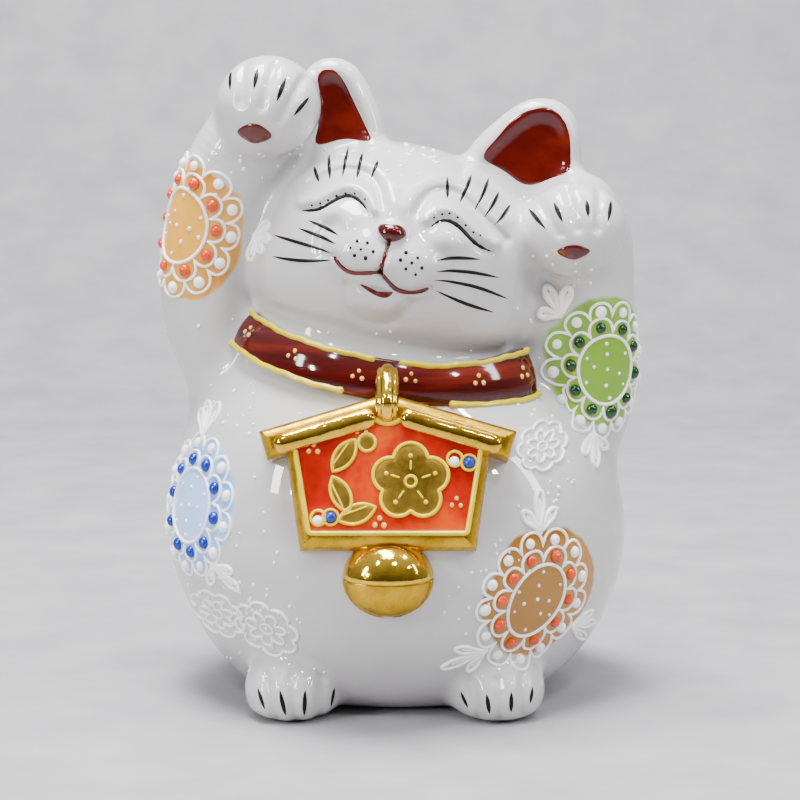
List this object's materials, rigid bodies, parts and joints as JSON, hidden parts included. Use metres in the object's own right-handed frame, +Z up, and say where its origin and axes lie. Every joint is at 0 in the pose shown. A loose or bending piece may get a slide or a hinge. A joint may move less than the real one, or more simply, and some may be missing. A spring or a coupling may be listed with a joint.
{
  "type": "beckoning cat figurine",
  "caption": "Free-standing hollow porcelain cat with both front paws raised, a collar, a votive plaque, a bell and raised enamel decoration.",
  "frame": {"origin": "centre of the flat resting face under the body, between the hips", "axes": "+Z up through the head, -Y the way the cat faces, +X to the cat's left"},
  "size_m": [0.1609, 0.1515, 0.2105],
  "materials": {
    "white_porcelain": "glossy white glaze with soft painted colour fields",
    "oxblood_enamel": "glossy mottled dark red overglaze enamel",
    "vermilion_enamel": "glossy mottled red-orange overglaze enamel",
    "yellow_enamel": "raised glossy yellow enamel",
    "gold_lustre": "bright fired gold lustre over glaze",
    "white_enamel": "raised glossy white enamel",
    "blue_enamel": "raised glossy cobalt blue enamel",
    "green_enamel": "raised glossy dark green enamel",
    "orange_enamel": "raised glossy orange enamel",
    "black_enamel": "thin glossy black painted line"
  },
  "bodies": {
    "root": {"back_colour_beads": "green_enamel", "back_pearls": "white_enamel", "bell_lower_half": "gold_lustre", "bell_upper_half": "gold_lustre", "collar_band": "oxblood_enamel", "collar_lower_piping": "yellow_enamel", "collar_upper_piping": "yellow_enamel", "head_casting": "white_porcelain", "left_arm_casting": "white_porcelain", "left_arm_colour_beads": "green_enamel", "left_arm_pearls": "white_enamel", "left_ear": "white_porcelain", "left_ear_lining": "oxblood_enamel", "left_foot": "white_porcelain", "left_paw_pad": "oxblood_enamel", "left_thigh_colour_beads": "orange_enamel", "left_thigh_pearls": "white_enamel", "nose": "oxblood_enamel", "plaque_blossom": "gold_lustre", "plaque_blue_beads": "blue_enamel", "plaque_board": "gold_lustre", "plaque_border": "yellow_enamel", "plaque_dots": "yellow_enamel", "plaque_leaves": "gold_lustre", "plaque_left_roof_bar": "gold_lustre", "plaque_panel": "vermilion_enamel", "plaque_right_roof_bar": "gold_lustre", "plaque_roof": "gold_lustre", "plaque_white_beads": "white_enamel", "right_arm_casting": "white_porcelain", "right_arm_colour_beads": "orange_enamel", "right_arm_pearls": "white_enamel", "right_ear": "white_porcelain", "right_ear_lining": "oxblood_enamel", "right_flank_colour_beads": "blue_enamel", "right_flank_pearls": "white_enamel", "right_foot": "white_porcelain", "right_paw_pad": "oxblood_enamel", "strap_loop": "gold_lustre", "tail": "white_porcelain", "torso_casting": "white_porcelain"}
  },
  "joints": []
}
